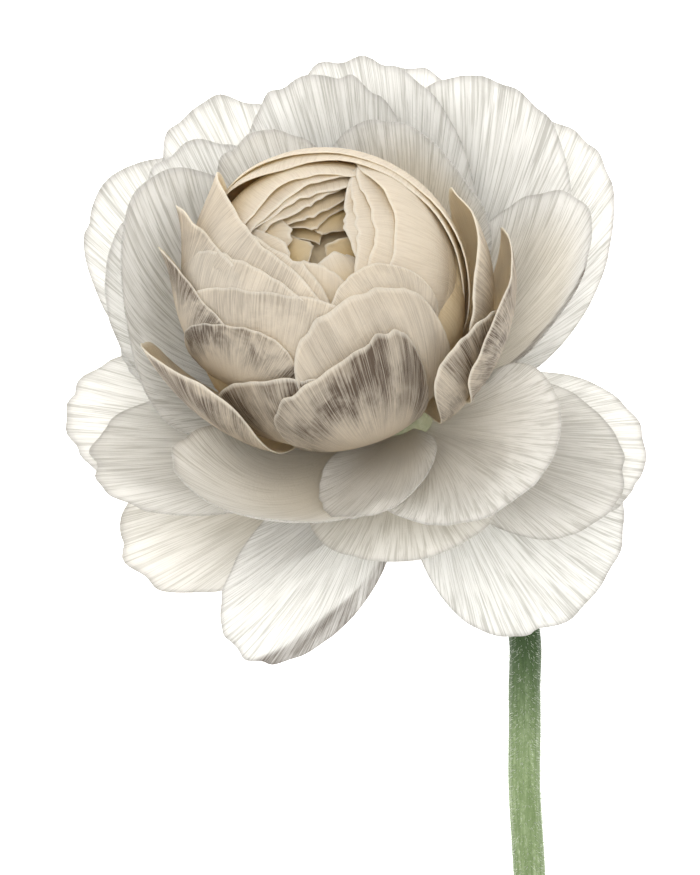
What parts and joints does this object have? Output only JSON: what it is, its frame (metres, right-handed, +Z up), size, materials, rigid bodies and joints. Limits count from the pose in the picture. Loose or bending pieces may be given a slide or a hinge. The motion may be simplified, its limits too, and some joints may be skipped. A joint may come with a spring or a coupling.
{
  "type": "ranunculus flower",
  "caption": "Cut ranunculus flower that lies on its back: a ball of overlapping petals in a ring of wide outer petals, on a green calyx and a lying stem.",
  "frame": {"origin": "middle of the whole flower's box, on the surface that it lies on", "axes": "+Z up from the surface, +Y from the cut end of the stem towards the bloom, +X to the right as seen from above"},
  "size_m": [0.101, 0.2169, 0.0632],
  "materials": {
    "heart_petal": "soft cream petal, matte with a faint sheen",
    "outer_petal": "thin translucent white petal, matte",
    "calyx": "green, slightly hairy",
    "stem": "mottled green, slightly hairy"
  },
  "bodies": {
    "root": {"heart": "heart_petal", "outer_petals": "outer_petal", "calyx": "calyx", "stem": "stem"}
  },
  "joints": []
}
